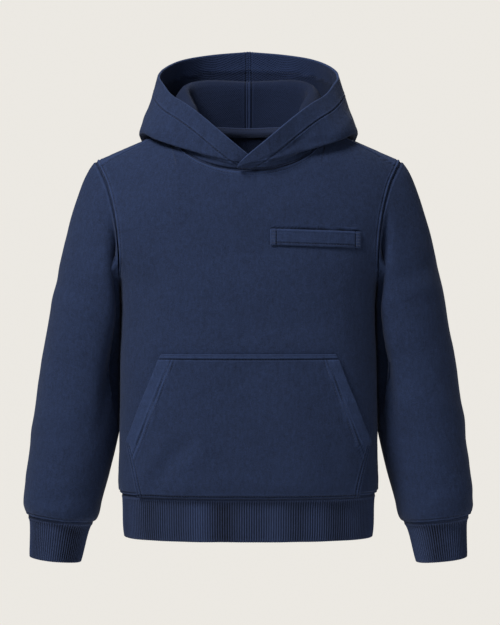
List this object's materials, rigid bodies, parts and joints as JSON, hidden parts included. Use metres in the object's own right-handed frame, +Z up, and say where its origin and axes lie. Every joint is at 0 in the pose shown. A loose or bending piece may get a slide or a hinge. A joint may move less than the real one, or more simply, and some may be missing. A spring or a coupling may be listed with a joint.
{
  "type": "toddler hoodie",
  "caption": "Pullover hoodie for a toddler, filled out as worn, with a lapped hood laid back, a pouch pocket, a chest welt pocket, and ribbed cuffs and waistband.",
  "frame": {"origin": "midway between the two points where the shoulder seams meet the neck seam", "axes": "+Z up, -Y out of the front, +X to the wearer's left"},
  "size_m": [0.473, 0.1935, 0.5488],
  "materials": {
    "fleece": "navy brushed-back sweatshirt fleece, matt with a short soft nap",
    "rib": "navy cotton rib knit, matt",
    "tape": "navy cotton tape, matt"
  },
  "bodies": {
    "root": {"front_panel": "fleece", "back_panel": "fleece", "sleeve_left": "fleece", "sleeve_right": "fleece", "cuff_left": "rib", "cuff_right": "rib", "waistband": "rib", "hood_left": "fleece", "hood_right": "fleece", "pouch_pocket": "fleece", "chest_welt": "fleece", "neck_tape": "tape"}
  },
  "joints": []
}
